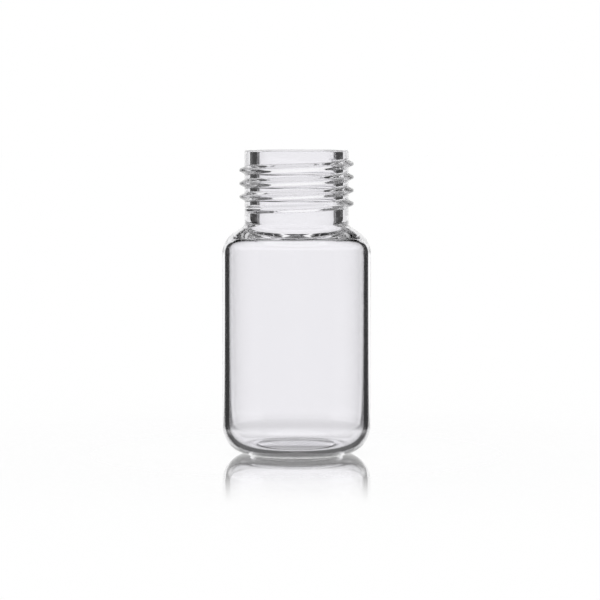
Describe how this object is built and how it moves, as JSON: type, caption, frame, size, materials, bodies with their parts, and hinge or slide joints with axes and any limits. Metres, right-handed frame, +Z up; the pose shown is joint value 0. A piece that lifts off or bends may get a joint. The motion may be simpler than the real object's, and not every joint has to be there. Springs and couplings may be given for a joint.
{
  "type": "glass sample vial",
  "caption": "Clear glass sample vial: round heel, straight body, sloped shoulder and an open thick-walled neck with an external screw thread.",
  "frame": {"origin": "centre of the circle that the vial stands on, on the plane of its foot ring", "axes": "+Z up along the vial's own axis, from the foot to the rim; the thread's lower end lies towards -X"},
  "size_m": [0.0226, 0.0226, 0.046],
  "materials": {
    "clear_glass": "clear, fire-polished"
  },
  "bodies": {
    "root": {"glass_vial": "clear_glass"}
  },
  "joints": []
}
